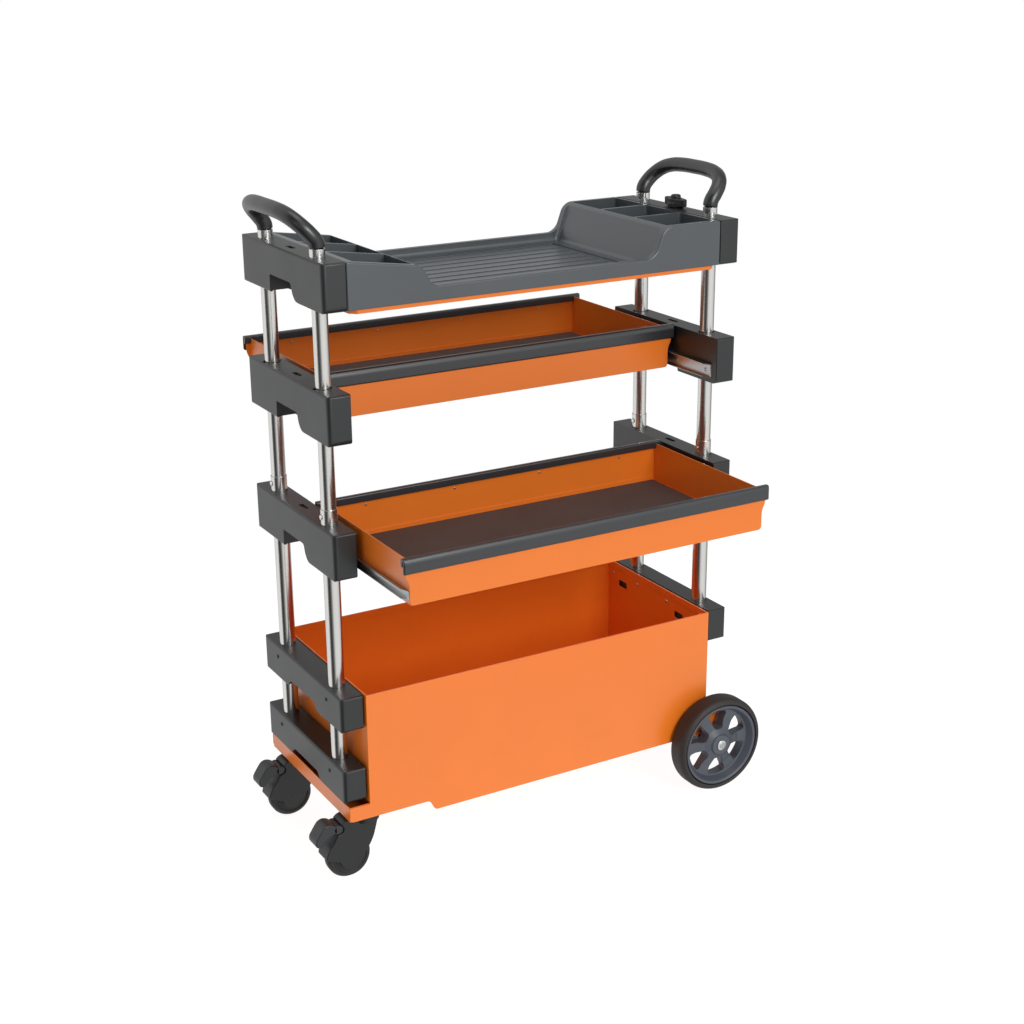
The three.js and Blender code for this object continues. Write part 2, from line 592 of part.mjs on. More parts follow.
function casterWheel(y) {
  const halfW = CASTER_WHEEL_W / 2;
  const r = CASTER_WHEEL_R;
  return turnedY([[4 + GAP, y - halfW], [r - 3, y - halfW], [r, y - halfW + 4], [r, y + halfW - 4],
    [r - 3, y + halfW], [4 + GAP, y + halfW], [4 + GAP, y - halfW]], CASTER_WHEEL_X, r, 24);
}

function brakePedal(y) {
  const paddle = new THREE.Shape();
  paddle.moveTo(-374, 98);
  paddle.lineTo(-384, 105);
  paddle.quadraticCurveTo(-394, 107, -402, 96);
  paddle.lineTo(PEDAL_TIP_X, 80);
  paddle.quadraticCurveTo(-413, 70, -403, 68);
  paddle.lineTo(-390, 84);
  paddle.lineTo(-374, 87);
  const boss = rodY(PEDAL_PIVOT.x, PEDAL_PIVOT.z, 7.6, y - 15, y + 15, 16);
  return join([prismY(paddle, y - 15, y + 15, 3), boss]);
}

for (const [endName, end] of ENDS) {
  const y = end * CASTER_Y;
  addPiece(`caster_plate_${endName}`,
    box(CASTER_PIVOT_X - 34, CASTER_PIVOT_X + 34, y - 30, y + 30, 110, BASE_BOTTOM_Z - GAP), ZINC);
  addPiece(`caster_fork_${endName}`, casterFork(y), BLACK_PLASTIC);
  addPiece(`caster_wheel_${endName}`, casterWheel(y), TYRE);
  addPiece(`brake_pedal_${endName}`, brakePedal(y), BLACK_PLASTIC);
}

export default cart;
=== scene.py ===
from math import cos, pi, radians, sin, tau

import bmesh
import bpy
from mathutils import Matrix, Vector


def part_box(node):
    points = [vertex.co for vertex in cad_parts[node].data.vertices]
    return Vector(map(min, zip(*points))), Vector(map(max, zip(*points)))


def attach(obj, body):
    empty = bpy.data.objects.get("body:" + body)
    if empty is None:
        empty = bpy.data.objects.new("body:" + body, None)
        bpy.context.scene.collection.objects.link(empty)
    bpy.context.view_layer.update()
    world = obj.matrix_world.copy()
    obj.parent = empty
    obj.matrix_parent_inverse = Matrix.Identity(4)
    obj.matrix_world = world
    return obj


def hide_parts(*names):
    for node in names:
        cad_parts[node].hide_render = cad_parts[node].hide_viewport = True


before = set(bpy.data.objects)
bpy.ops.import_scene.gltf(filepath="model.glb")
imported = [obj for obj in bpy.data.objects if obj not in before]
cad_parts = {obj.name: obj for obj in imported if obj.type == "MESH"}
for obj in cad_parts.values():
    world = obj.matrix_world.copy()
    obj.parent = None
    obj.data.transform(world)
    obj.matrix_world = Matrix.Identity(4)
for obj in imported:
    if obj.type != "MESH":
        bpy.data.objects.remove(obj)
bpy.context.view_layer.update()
scene = bpy.context.scene

# Studio: a pale round floor under a white sky, a large soft light high in front and weaker ones on
# the left and above. Polished metal sees dark upright bands in the sky, as from flags beside the set.
scene.view_settings.view_transform = "Standard"
CAMERA_AT = Vector((-1.3308, -2.3335, 1.450))
CAMERA_YAW = radians(29.97)
CAMERA_PITCH = radians(19.01)
CAMERA_ROLL = radians(-0.48)

camera = bpy.data.objects.new("camera", bpy.data.cameras.new("camera"))
camera.data.lens = 59.9
camera.matrix_world = (
    Matrix.Translation(CAMERA_AT)
    @ Matrix.Rotation(-CAMERA_YAW, 4, "Z")
    @ Matrix.Rotation(pi / 2 - CAMERA_PITCH, 4, "X")
    @ Matrix.Rotation(CAMERA_ROLL, 4, "Z")
)
scene.collection.objects.link(camera)
scene.camera = camera


def soft_light(name, at, width, power):
    """A square area light that faces the middle of the cart."""
    lamp = bpy.data.objects.new(name, bpy.data.lights.new(name, "AREA"))
    lamp.data.size = width
    lamp.data.energy = power
    facing = Vector((0, 0, 0.6)) - Vector(at)
    lamp.matrix_world = Matrix.Translation(at) @ facing.to_track_quat("-Z", "Y").to_matrix().to_4x4()
    scene.collection.objects.link(lamp)


soft_light("key_light", (0.3, -3.6, 2.3), 1.6, 84)
soft_light("left_light", (-3.0, -1.8, 1.6), 1.6, 7)
soft_light("top_light", (-0.2, -0.4, 3.4), 1.6, 16)

sky = bpy.data.worlds.new("studio_sky")
scene.world = sky
sky.use_nodes = True
sky_nodes = sky.node_tree.nodes
sky_links = sky.node_tree.links
sky_out = sky_nodes["World Output"]
sky_plain = sky_nodes["Background"]
sky_plain.inputs["Color"].default_value = (1, 1, 1, 1)
sky_plain.inputs["Strength"].default_value = 0.30
sky_banded = sky_nodes.new("ShaderNodeBackground")
sky_backdrop = sky_nodes.new("ShaderNodeBackground")
sky_backdrop.inputs["Color"].default_value = (1, 1, 1, 1)
heading = sky_nodes.new("ShaderNodeTexCoord")
axes = sky_nodes.new("ShaderNodeSeparateXYZ")
turn = sky_nodes.new("ShaderNodeMath")
turn.operation = "ARCTAN2"
share = sky_nodes.new("ShaderNodeMapRange")
share.inputs["From Min"].default_value = -pi
share.inputs["From Max"].default_value = pi
bands = sky_nodes.new("ShaderNodeValToRGB")
BAND_GREYS = ((0.0, 0.30), (0.045, 0.06), (0.10, 0.04), (0.15, 0.25), (0.20, 0.9), (0.33, 1.0),
              (0.44, 0.8), (0.50, 0.25), (0.57, 0.5), (0.70, 0.55), (0.80, 0.9), (0.93, 1.0))
while len(bands.color_ramp.elements) < len(BAND_GREYS):
    bands.color_ramp.elements.new(0.5)
for stop, (place, grey) in zip(bands.color_ramp.elements, BAND_GREYS):
    stop.position = place
    stop.color = (grey, grey, grey, 1)
rays = sky_nodes.new("ShaderNodeLightPath")
for_gloss = sky_nodes.new("ShaderNodeMixShader")
for_view = sky_nodes.new("ShaderNodeMixShader")
sky_links.new(heading.outputs["Generated"], axes.inputs[0])
sky_links.new(axes.outputs["Y"], turn.inputs[0])
sky_links.new(axes.outputs["X"], turn.inputs[1])
sky_links.new(turn.outputs[0], share.inputs["Value"])
sky_links.new(share.outputs[0], bands.inputs[0])
sky_links.new(bands.outputs[0], sky_banded.inputs["Color"])
sky_links.new(rays.outputs["Is Glossy Ray"], for_gloss.inputs[0])
sky_links.new(sky_plain.outputs[0], for_gloss.inputs[1])
sky_links.new(sky_banded.outputs[0], for_gloss.inputs[2])
sky_links.new(rays.outputs["Is Camera Ray"], for_view.inputs[0])
sky_links.new(for_gloss.outputs[0], for_view.inputs[1])
sky_links.new(sky_backdrop.outputs[0], for_view.inputs[2])
sky_links.new(for_view.outputs[0], sky_out.inputs["Surface"])

FLOOR_RADIUS = 1.5
floor_shape = bmesh.new()
bmesh.ops.create_circle(floor_shape, cap_ends=True, radius=FLOOR_RADIUS, segments=96)
floor_mesh = bpy.data.meshes.new("floor")
floor_shape.to_mesh(floor_mesh)
floor_shape.free()
floor = bpy.data.objects.new("floor", floor_mesh)
floor_look = bpy.data.materials.new("pale_floor")
floor_look.use_nodes = True
floor_shader = floor_look.node_tree.nodes["Principled BSDF"]
floor_shader.inputs["Base Color"].default_value = (0.25, 0.25, 0.25, 1)
floor_shader.inputs["Roughness"].default_value = 0.9
floor_shader.inputs["Emission Color"].default_value = (1, 1, 1, 1)
floor_shader.inputs["Emission Strength"].default_value = 0.92
floor_mesh.materials.append(floor_look)
scene.collection.objects.link(floor)
floor.visible_glossy = False

# Posts: four telescopic pairs of polished chromed steel tube. The lower tubes stand in the bin's
# brackets, and the upper ones slide inside them and carry the top. Each has a spring button.
SIDES = ("left", "right")
ENDS = ("front", "rear")
LOWER_TUBE_WALL = 0.0008
UPPER_TUBE_WALL = 0.0012
TUBE_EDGE = 0.0003
BUTTON_HOLE_RADIUS = 0.0046


def hue(red, green, blue):
    """A colour in 0-255 screen values as the linear colour of a shader."""
    return tuple(((value / 255 + 0.055) / 1.055) ** 2.4 for value in (red, green, blue)) + (1.0,)


def finish(name, colour, roughness, metallic=0.0, drift=0.05, grain=0.0012, depth=0.00006, coat=0.0,
           coat_roughness=0.25):
    """A finish whose colour and gloss drift slowly through the piece, under a fine surface grain."""
    look = bpy.data.materials.new(name)
    look.use_nodes = True
    nodes = look.node_tree.nodes
    links = look.node_tree.links
    shader = nodes["Principled BSDF"]
    shader.inputs["Metallic"].default_value = metallic
    shader.inputs["Coat Weight"].default_value = coat
    shader.inputs["Coat Roughness"].default_value = coat_roughness
    solid = nodes.new("ShaderNodeTexCoord")
    patches = nodes.new("ShaderNodeTexNoise")
    patches.inputs["Scale"].default_value = 11.0
    patches.inputs["Detail"].default_value = 5.0
    shades = nodes.new("ShaderNodeValToRGB")
    shades.color_ramp.elements[0].position = 0.3
    shades.color_ramp.elements[1].position = 0.7
    shades.color_ramp.elements[0].color = tuple(value * (1 - drift) for value in colour[:3]) + (1.0,)
    shades.color_ramp.elements[1].color = tuple(value * (1 + drift) for value in colour[:3]) + (1.0,)
    gloss = nodes.new("ShaderNodeMapRange")
    gloss.inputs["To Min"].default_value = roughness * 0.85
    gloss.inputs["To Max"].default_value = roughness * 1.15
    specks = nodes.new("ShaderNodeTexNoise")
    specks.inputs["Scale"].default_value = 1 / grain
    specks.inputs["Detail"].default_value = 2.0
    relief = nodes.new("ShaderNodeBump")
    relief.inputs["Distance"].default_value = depth
    relief.inputs["Strength"].default_value = 1.0
    links.new(solid.outputs["Object"], patches.inputs["Vector"])
    links.new(solid.outputs["Object"], specks.inputs["Vector"])
    links.new(patches.outputs["Fac"], shades.inputs[0])
    links.new(shades.outputs[0], shader.inputs["Base Color"])
    links.new(patches.outputs["Fac"], gloss.inputs["Value"])
    links.new(gloss.outputs[0], shader.inputs["Roughness"])
    links.new(specks.outputs["Fac"], relief.inputs["Height"])
    links.new(relief.outputs[0], shader.inputs["Normal"])
    return look


AXIS_TURN = {
    "x": Matrix.Rotation(pi / 2, 4, "Y"),
    "y": Matrix.Rotation(-pi / 2, 4, "X"),
    "z": Matrix.Identity(4),
}


def turned(profile, centre, axis, steps=64, rounded=0.0, segments=3):
    """A closed outline of (radius, place along the axis) turned round a line through centre."""
    shape = bmesh.new()
    shape.faces.new([shape.verts.new((radius, 0, along)) for radius, along in profile])
    corners = [corner for corner in shape.verts if corner.co.x > 1e-6]
    if rounded:
        bmesh.ops.bevel(shape, geom=corners, offset=rounded, segments=segments, profile=0.5,
                        affect="VERTICES", material=-1, clamp_overlap=True)
    bmesh.ops.delete(shape, geom=shape.faces[:], context="FACES_ONLY")
    on_axis = [edge for edge in shape.edges if all(end.co.x < 1e-6 for end in edge.verts)]
    bmesh.ops.delete(shape, geom=on_axis, context="EDGES")
    bmesh.ops.spin(shape, geom=shape.verts[:] + shape.edges[:], cent=(0, 0, 0), axis=(0, 0, 1),
                   dvec=(0, 0, 0), angle=tau, steps=steps, use_merge=True)
    bmesh.ops.remove_doubles(shape, verts=shape.verts[:], dist=1e-6)
    bmesh.ops.transform(shape, matrix=Matrix.Translation(centre) @ AXIS_TURN[axis], verts=shape.verts[:])
    bmesh.ops.recalc_face_normals(shape, faces=shape.faces[:])
    return shape


def rod(radius, start, stop, centre, axis, **turning):
    """A solid rod between two places on an axis."""
    return turned([(0, start), (radius, start), (radius, stop), (0, stop)], centre, axis, **turning)


def as_object(shape, name):
    """The bmesh as an object at the origin."""
    bmesh.ops.remove_doubles(shape, verts=shape.verts[:], dist=1e-6)
    bmesh.ops.recalc_face_normals(shape, faces=shape.faces[:])
    mesh = bpy.data.meshes.new(name)
    shape.to_mesh(mesh)
    shape.free()
    made = bpy.data.objects.new(name, mesh)
    scene.collection.objects.link(made)
    return made


def carved(shape, cutters, operation="DIFFERENCE"):
    """The solid without the cutters, or with INTERSECT only what lies inside each of them."""
    blank = as_object(shape, "blank")
    tools = [as_object(cutter, "cutter") for cutter in cutters]
    for tool in tools:
        step = blank.modifiers.new("carve", "BOOLEAN")
        step.operation = operation
        step.solver = "EXACT"
        step.object = tool
    result = bmesh.new()
    result.from_object(blank, bpy.context.evaluated_depsgraph_get())
    for used in (blank, *tools):
        used_mesh = used.data
        bpy.data.objects.remove(used)
        bpy.data.meshes.remove(used_mesh)
    bmesh.ops.remove_doubles(result, verts=result.verts[:], dist=2e-6)
    bmesh.ops.dissolve_limit(result, angle_limit=radians(0.6), verts=result.verts[:],
                             edges=result.edges[:])
    return result


def placed(shape, name, look, body, stands_for=(), edge=0.0, segments=3):
    """A finished piece: its edges softened, its finish on it, riding on its body."""
    piece = as_object(shape, name)
    piece.data.shade_smooth()
    piece.data.set_sharp_from_angle(angle=radians(32))
    piece.data.materials.append(look)
    if edge:
        soft = piece.modifiers.new("soft_edges", "BEVEL")
        soft.width = edge
        soft.segments = segments
        soft.limit_method = "ANGLE"
        soft.angle_limit = radians(32)
        soft.use_clamp_overlap = False
    even = piece.modifiers.new("even_shading", "WEIGHTED_NORMAL")
    even.keep_sharp = True
    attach(piece, body)
    if stands_for:
        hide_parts(*stands_for)
    return piece


chrome = finish("polished_chrome", hue(216, 215, 212), 0.2, metallic=1.0, drift=0.02, grain=0.006,
                depth=0.00002)
post_at = {}
for end in ENDS:
    for side in SIDES:
        corner = f"{end}_{side}"
        button_low, button_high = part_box(f"lock_button_{corner}")
        button_mid = (button_low + button_high) / 2
        button_radius = (button_high.z - button_low.z) / 2
        for tube, body, wall in (("lower", "root", LOWER_TUBE_WALL), ("upper", "top", UPPER_TUBE_WALL)):
            low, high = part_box(f"{tube}_post_{corner}")
            middle = (low + high) / 2
            radius = (high.y - low.y) / 2
            section = [(radius - wall, low.z), (radius, low.z), (radius, high.z), (radius - wall, high.z)]
            shape = turned(section, (middle.x, middle.y, 0), "z", steps=72, rounded=TUBE_EDGE)
            if tube == "lower":
                post_at[corner] = Vector((middle.x, middle.y, 0))
                hole = rod(BUTTON_HOLE_RADIUS, low.x - 0.002, middle.x, (0, middle.y, button_mid.z), "x",
                           steps=32)
                shape = carved(shape, [hole])
            placed(shape, f"{tube}_tube_{corner}", chrome, body, [f"{tube}_post_{corner}"])
        button = rod(button_radius, button_low.x, button_high.x, (0, button_mid.y, button_mid.z), "x",
                     steps=32, rounded=0.0012)
        placed(button, f"spring_button_{corner}", chrome, f"lock_button_{corner}",
               [f"lock_button_{corner}"])

# Bin: a deep box of folded steel sheet with an orange powder coat. Its rim is folded inwards, and its
# front and rear panels run down past the floor as skirts that hide the base.
SHEET = 0.0015
RIM_FOLD = 0.0028
RIM_DEPTH = 0.011
SKIRT_STEP_FROM_END = 0.141
SKIRT_STEP_RUN = 0.010
BESIDE_BRACKET = 0.003
SEAT_GAP = 0.0003


def prism(outline, axis, start, stop, rounding=None, steps=6):
    """A flat outline run along an axis; rounding gives the radius of the corners with those numbers."""
    shape = bmesh.new()
    place = {
        "x": lambda u, v: (start, u, v),
        "y": lambda u, v: (u, start, v),
        "z": lambda u, v: (u, v, start),
    }[axis]
    corners = [shape.verts.new(place(u, v)) for u, v in outline]
    shape.faces.new(corners)
    for radius, numbers in (rounding or {}).items():
        bmesh.ops.bevel(shape, geom=[corners[number] for number in numbers], offset=radius, segments=steps,
                        profile=0.5, affect="VERTICES", material=-1)
    raised = bmesh.ops.extrude_face_region(shape, geom=shape.faces[:])
    run = Vector([(stop - start) * (letter == axis) for letter in "xyz"])
    moved = [item for item in raised["geom"] if isinstance(item, bmesh.types.BMVert)]
    bmesh.ops.translate(shape, vec=run, verts=moved)
    bmesh.ops.recalc_face_normals(shape, faces=shape.faces[:])
    return shape


def block(x0, x1, y0, y1, z0, z1, corner=0.0, steps=4):
    """An upright block with its four standing corners rounded."""
    rounding = {corner: (0, 1, 2, 3)} if corner else None
    return prism([(x0, y0), (x1, y0), (x1, y1), (x0, y1)], "z", z0, z1, rounding, steps)


def joined(shapes):
    """Several bmeshes in one."""
    whole = bmesh.new()
    for shape in shapes:
        part = bpy.data.meshes.new("part")
        shape.to_mesh(part)
        shape.free()
        whole.from_mesh(part)
        bpy.data.meshes.remove(part)
    return whole


orange_coat = finish("orange_powder_coat", hue(237, 122, 32), 0.34, drift=0.02, grain=0.0011,
                     depth=0.00004, coat=0.25)

bin_low, bin_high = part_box("bin_shell")
bin_x0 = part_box("bin_bracket_upper_left")[1].x + BESIDE_BRACKET
bin_x1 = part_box("bin_bracket_upper_right")[0].x - BESIDE_BRACKET
floor_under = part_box("base_pan")[1].z + SEAT_GAP
skirt_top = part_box("base_pan")[0].z
wing_top = floor_under - 0.001
step_x = bin_low.x + SKIRT_STEP_FROM_END
bin_outline = [(bin_x0, bin_high.z), (bin_x0, wing_top), (bin_low.x, wing_top), (bin_low.x, skirt_top),
               (step_x, skirt_top), (step_x + SKIRT_STEP_RUN, bin_low.z), (bin_high.x, bin_low.z),
               (bin_high.x, wing_top), (bin_x1, wing_top), (bin_x1, bin_high.z)]
bin_blank = prism(bin_outline, "y", bin_low.y, bin_high.y, {0.004: (4, 5), 0.006: (3, 6)})
deep_room = block(bin_x0 + SHEET, bin_x1 - SHEET, bin_low.y + SHEET, bin_high.y - SHEET,
                  floor_under + SHEET, bin_high.z - RIM_DEPTH, corner=0.002)
rim_room = block(bin_x0 + RIM_FOLD, bin_x1 - RIM_FOLD, bin_low.y + RIM_FOLD, bin_high.y - RIM_FOLD,
                 bin_high.z - RIM_DEPTH - 0.001, bin_high.z + 0.001, corner=0.002)
under_room = block(bin_low.x - 0.001, bin_high.x + 0.001, bin_low.y + SHEET, bin_high.y - SHEET,
                   bin_low.z - 0.001, floor_under)
SLOT_DROP = 0.037
SLOT_HALF_WIDTH = 0.013
SLOT_HALF_HEIGHT = 0.006
slots = []
for from_middle in (0.108, -0.070):
    slot_y = (bin_low.y + bin_high.y) / 2 + from_middle
    slot_z = bin_high.z - SLOT_DROP
    slots.append(prism([(slot_y - SLOT_HALF_WIDTH, slot_z - SLOT_HALF_HEIGHT),
                        (slot_y + SLOT_HALF_WIDTH, slot_z - SLOT_HALF_HEIGHT),
                        (slot_y + SLOT_HALF_WIDTH, slot_z + SLOT_HALF_HEIGHT),
                        (slot_y - SLOT_HALF_WIDTH, slot_z + SLOT_HALF_HEIGHT)],
                       "x", bin_x1 - 0.004, bin_x1 + 0.001, {0.003: (0, 1, 2, 3)}))
bin_shape = carved(bin_blank, [deep_room, rim_room, under_room, *slots])
placed(bin_shape, "bin_box", orange_coat, "root", ["bin_shell"], edge=0.0005,
       segments=2)


def softened(node, name, look, body, edge):
    """A copy of a frame node with its flat faces made whole and its edges rounded."""
    shape = bmesh.new()
    shape.from_mesh(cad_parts[node].data)
    bmesh.ops.remove_doubles(shape, verts=shape.verts[:], dist=1e-6)
    bmesh.ops.dissolve_limit(shape, angle_limit=radians(1), verts=shape.verts[:], edges=shape.edges[:])
    return placed(shape, name, look, body, [node], edge=edge)


softened("base_pan", "base_tray", orange_coat, "root", 0.0006)

zinc = finish("zinc_plate", hue(178, 181, 182), 0.34, metallic=1.0, drift=0.06, grain=0.002, depth=0.00005)
black_steel = finish("black_oxide_steel", hue(38, 38, 40), 0.42, metallic=0.6, drift=0.08)


def domed_screw(at, axis, radius, height):
    """A low domed head with a driver slot; height is signed along the axis."""
    index = "xyz".index(axis)
    base = at[index]
    centre = [0 if number == index else value for number, value in enumerate(at)]
    profile = [(0, base - height * 0.3), (radius, base - height * 0.3),
               (radius * 0.98, base + height * 0.35), (radius * 0.6, base + height * 0.9),
               (0, base + height)]
    head = turned(profile, centre, axis, steps=20, rounded=radius * 0.12)
    half = [radius * (0.14 if number == (index + 1) % 3 else 0.75) for number in range(3)]
    half[index] = abs(height) * 0.35
    middle = [at[number] + (height if number == index else 0) for number in range(3)]
    driver_slot = block(middle[0] - half[0], middle[0] + half[0], middle[1] - half[1],
                        middle[1] + half[1], middle[2] - half[2], middle[2] + half[2])
    return carved(head, [driver_slot])


SCREW_RADIUS = 0.0032
SCREW_HEIGHT = 0.0016
bin_mid_y = (bin_low.y + bin_high.y) / 2
bin_screws = []
for y, drop in ((0.059, 0.021), (-0.033, 0.022), (0.139, 0.023), (-0.120, 0.022)):
    right_at = (bin_x1 - SHEET, bin_mid_y + y, bin_high.z - drop)
    bin_screws.append(domed_screw(right_at, "x", SCREW_RADIUS, -SCREW_HEIGHT))
for y in (-0.120, -0.033, 0.059, 0.139):
    left_at = (bin_x0 + SHEET, bin_mid_y + y, bin_high.z - 0.022)
    bin_screws.append(domed_screw(left_at, "x", SCREW_RADIUS, SCREW_HEIGHT))
placed(joined(bin_screws), "bin_screws", zinc, "root")

# Axle channel, axle and caster plates under the base, bolted from above: the channel is black pressed steel,
# and the axle and the caster plates are zinc-plated.
black_paint = finish("black_paint", hue(34, 35, 37), 0.45, drift=0.08)
softened("axle_channel", "axle_trough", black_paint, "root", 0.0010)
axle_low, axle_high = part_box("wheel_axle")
axle_mid = (axle_low + axle_high) / 2
axle = rod((axle_high.z - axle_low.z) / 2, axle_low.y, axle_high.y, (axle_mid.x, 0, axle_mid.z), "y",
           steps=40, rounded=0.0012)
placed(axle, "axle_rod", zinc, "root", ["wheel_axle"])
for end in ENDS:
    softened(f"caster_plate_{end}", f"caster_top_plate_{end}", zinc, "root", 0.0006)

# Brackets: hollow blocks of grained grey plastic that join the front and rear post at each level.
# An arch is cut under each between the posts, and ribs stiffen the hollow. Each side of an arch has
# its foot and its crown as distances from the middle, and a corner radius.
DEEP_ARCH = {"steep": (0.043, 0.042, 0.003), "flared": (0.046, 0.0375, 0.018), "rise": 0.028}
SHALLOW_ARCH = {"steep": (0.060, 0.047, 0.009), "flared": (0.060, 0.047, 0.008), "rise": 0.015}
BRACKET_CORNER = 0.008
BRACKET_FOOT_CORNER = 0.010
CROWN_CORNER = 0.005
BRACKET_EDGE = 0.004
BRACKET_WALL = 0.004
RIB = 0.0022
SLIDING_BORE = 0.0134
FIXED_BORE = 0.0123
GROOVE_REACH = 0.016
GROOVE_HALF = 0.005
RECESS_HALF_X = 0.004
RECESS_HALF_Y = 0.013
RECESS_DEPTH = 0.0025
PASS = 0.001

grey_plastic = finish("grey_bracket_plastic", hue(25, 28, 29), 0.44, drift=0.06, grain=0.0009, depth=0.00006,
                      coat=0.2, coat_roughness=0.3)


def bracket(node, arch, bores, recessed, grooved_to=None):
    """A bracket made round a frame node; bores are (radius, from, to) and grooved_to a groove's top."""
    low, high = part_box(node)
    mid_y = (low.y + high.y) / 2
    outward = 1 if node.endswith("right") else -1
    inner_x, outer_x = (low.x, high.x) if outward > 0 else (high.x, low.x)
    half_y = (high.y - low.y) / 2
    plan = prism([(inner_x, low.y), (outer_x, low.y), (outer_x, high.y), (inner_x, high.y)],
                 "z", low.z - PASS, high.z + PASS, {BRACKET_CORNER: (1, 2), 0.002: (0, 3)}, 8)
    steep_foot, steep_crown, steep_ease = arch["steep"]
    flared_foot, flared_crown, flared_ease = arch["flared"]
    crown_z = low.z + arch["rise"]
    end_view = prism([(mid_y - outward * half_y, high.z), (mid_y - outward * half_y, low.z),
                      (mid_y - outward * steep_foot, low.z), (mid_y - outward * steep_crown, crown_z),
                      (mid_y + outward * flared_crown, crown_z), (mid_y + outward * flared_foot, low.z),
                      (mid_y + outward * half_y, low.z), (mid_y + outward * half_y, high.z)],
                     "x", low.x - PASS, high.x + PASS,
                     {BRACKET_FOOT_CORNER: (1, 6), steep_ease: (2, 3), flared_ease: (5,),
                      CROWN_CORNER: (4,), BRACKET_EDGE: (0, 7)}, 7)
    front_view = prism([(inner_x - outward * PASS, low.z - PASS), (outer_x, low.z), (outer_x, high.z),
                        (inner_x - outward * PASS, high.z + PASS)],
                       "y", low.y - PASS, high.y + PASS, {BRACKET_EDGE: (1, 2)}, 6)
    shape = carved(plan, [end_view, front_view], "INTERSECT")
    side = "right" if outward > 0 else "left"
    posts = [post_at[f"{end}_{side}"] for end in ENDS]
    hollow_to = high.z - BRACKET_WALL
    near_post = posts[1].y - mid_y - SLIDING_BORE - BRACKET_WALL
    past_post = posts[1].y - mid_y + SLIDING_BORE + BRACKET_WALL
    rib_from = near_post / 2 + 0.001
    spans = [(BRACKET_WALL, rib_from), (rib_from + RIB, near_post),
             (past_post, half_y - BRACKET_FOOT_CORNER - BRACKET_WALL)]
    tools = [block(low.x + BRACKET_WALL, high.x - BRACKET_WALL, mid_y + sign * start, mid_y + sign * stop,
                   low.z - PASS, hollow_to, corner=0.0015, steps=3)
             for start, stop in spans for sign in (-1, 1)]
    for post in posts:
        tools += [rod(radius, start, stop, post, "z", steps=48) for radius, start, stop in bores]
        if grooved_to is not None:
            tools.append(block(post.x - GROOVE_REACH, post.x, post.y - GROOVE_HALF, post.y + GROOVE_HALF,
                               low.z - PASS, grooved_to))
    if recessed:
        tools.append(block(posts[0].x - RECESS_HALF_X, posts[0].x + RECESS_HALF_X, mid_y - RECESS_HALF_Y,
                           mid_y + RECESS_HALF_Y, high.z - RECESS_DEPTH, high.z + PASS, corner=0.0035,
                           steps=5))
    return carved(shape, tools)


for side in SIDES:
    for number in (1, 2):
        node = f"shelf_{number}_bracket_{side}"
        low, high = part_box(node)
        through = [(SLIDING_BORE, low.z - PASS, high.z + PASS)]
        groove = high.z + PASS if number == 1 else None
        placed(bracket(node, DEEP_ARCH, through, True, groove), f"shelf_{number}_block_{side}", grey_plastic,
               f"shelf_{number}", [node])
    for level in ("upper", "lower"):
        node = f"bin_bracket_{level}_{side}"
        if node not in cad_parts:
            continue
        low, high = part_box(node)
        through = [(SLIDING_BORE, low.z - PASS, high.z + PASS)]
        placed(bracket(node, SHALLOW_ARCH, through, False), f"bin_block_{level}_{side}", grey_plastic,
               "root", [node])
        outward = 1 if side == "right" else -1
        outer_x = high.x if outward > 0 else low.x
        screws = [domed_screw((outer_x, post_at[f"{end}_{side}"].y, high.z - 0.020), "x", 0.0036,
                              outward * 0.0014)
                  for end in ENDS]
        placed(joined(screws), f"bin_block_screws_{level}_{side}", black_steel, "root")
    node = f"top_block_{side}"
    low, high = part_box(node)
    step_z = high.z - 0.015
    bores = [(SLIDING_BORE, low.z - PASS, step_z), (FIXED_BORE, step_z - PASS, high.z + PASS)]
    placed(bracket(node, DEEP_ARCH, bores, side == "left", step_z), f"top_end_block_{side}", grey_plastic,
           "top", [node])

# Top tray: one moulding of grained grey plastic with an open middle, raised ends with three deep
# pockets on the right and three scooped ones on the left. It lies in a shallow orange sheet pan.
tray_plastic = finish("grey_tray_plastic", hue(66, 72, 76), 0.42, drift=0.05, grain=0.0009, depth=0.00006,
                      coat=0.6, coat_roughness=0.3)
tray_low, tray_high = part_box("top_tray")
tray_mid = (tray_low + tray_high) / 2
RIM_HEIGHT = 0.022
WELL_FLOOR = 0.008
rim_z = tray_low.z + RIM_HEIGHT
well_z = tray_low.z + WELL_FLOOR
RIM_WIDTH = 0.012
TRAY_EDGE = 0.0025
ramp_right = (tray_mid.x + 0.202, tray_mid.x + 0.226)
ramp_left = (tray_mid.x - 0.190, tray_mid.x - 0.214)
LEFT_HEAD_DROP = 0.017
left_head_z = tray_high.z - LEFT_HEAD_DROP
tray_blank = prism([(tray_low.x, tray_low.z), (tray_high.x, tray_low.z), (tray_high.x, tray_high.z),
                    (ramp_right[1] - 0.005, tray_high.z), (ramp_right[0] + 0.001, rim_z),
                    (ramp_left[0] - 0.001, rim_z), (ramp_left[1] + 0.005, left_head_z),
                    (tray_low.x, tray_high.z)],
                   "y", tray_low.y, tray_high.y, {0.016: (3, 4), 0.011: (5, 6), 0.004: (2, 7)}, 10)
long_edges = [edge for edge in tray_blank.edges
              if abs(edge.verts[0].co.y - edge.verts[1].co.y) < 1e-6
              and max(end.co.z for end in edge.verts) > tray_low.z + 0.001]
bmesh.ops.bevel(tray_blank, geom=long_edges, offset=TRAY_EDGE, segments=4, profile=0.5, affect="EDGES",
                material=-1, clamp_overlap=False)


